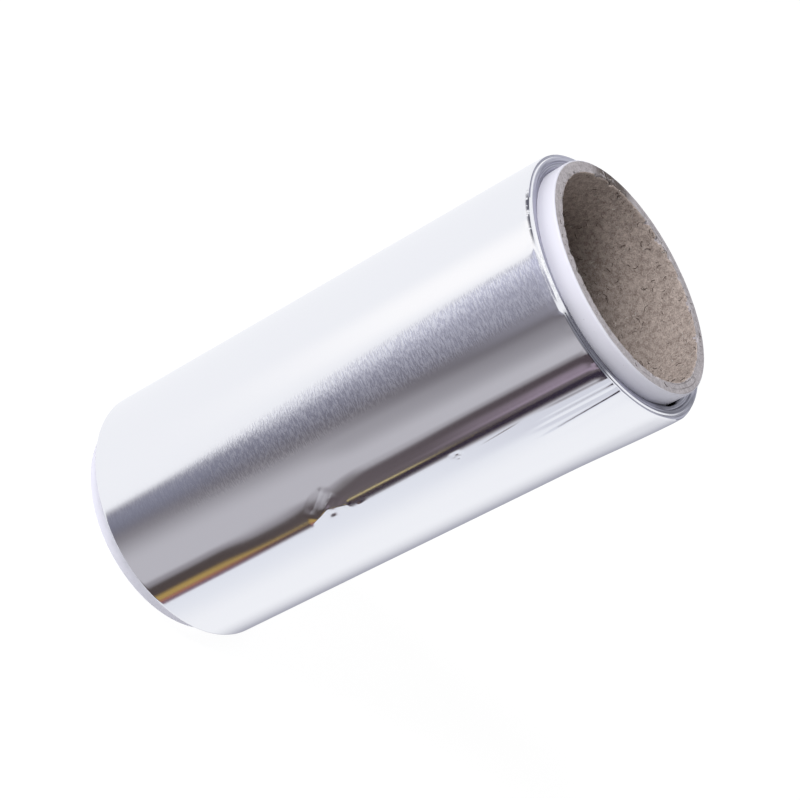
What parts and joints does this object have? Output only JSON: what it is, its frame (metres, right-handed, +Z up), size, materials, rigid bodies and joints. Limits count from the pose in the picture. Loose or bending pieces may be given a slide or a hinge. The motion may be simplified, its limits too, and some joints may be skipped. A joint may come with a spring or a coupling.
{
  "type": "aluminium foil roll",
  "caption": "Roll of bright aluminium foil wound on a paperboard core that stands out at both ends, with an open bore for a dispenser spindle; standing on end",
  "frame": {"origin": "centre of the core's lower end, on the floor that the roll stands on", "axes": "+Z up along the roll's axis; the roll is round about it, and the web's free edge is on the +Y side"},
  "size_m": [0.0601, 0.0599, 0.1283],
  "materials": {
    "paperboard": "matte",
    "foil": "bright"
  },
  "bodies": {
    "root": {"core_tube": "paperboard", "foil_roll": "foil"}
  },
  "joints": []
}
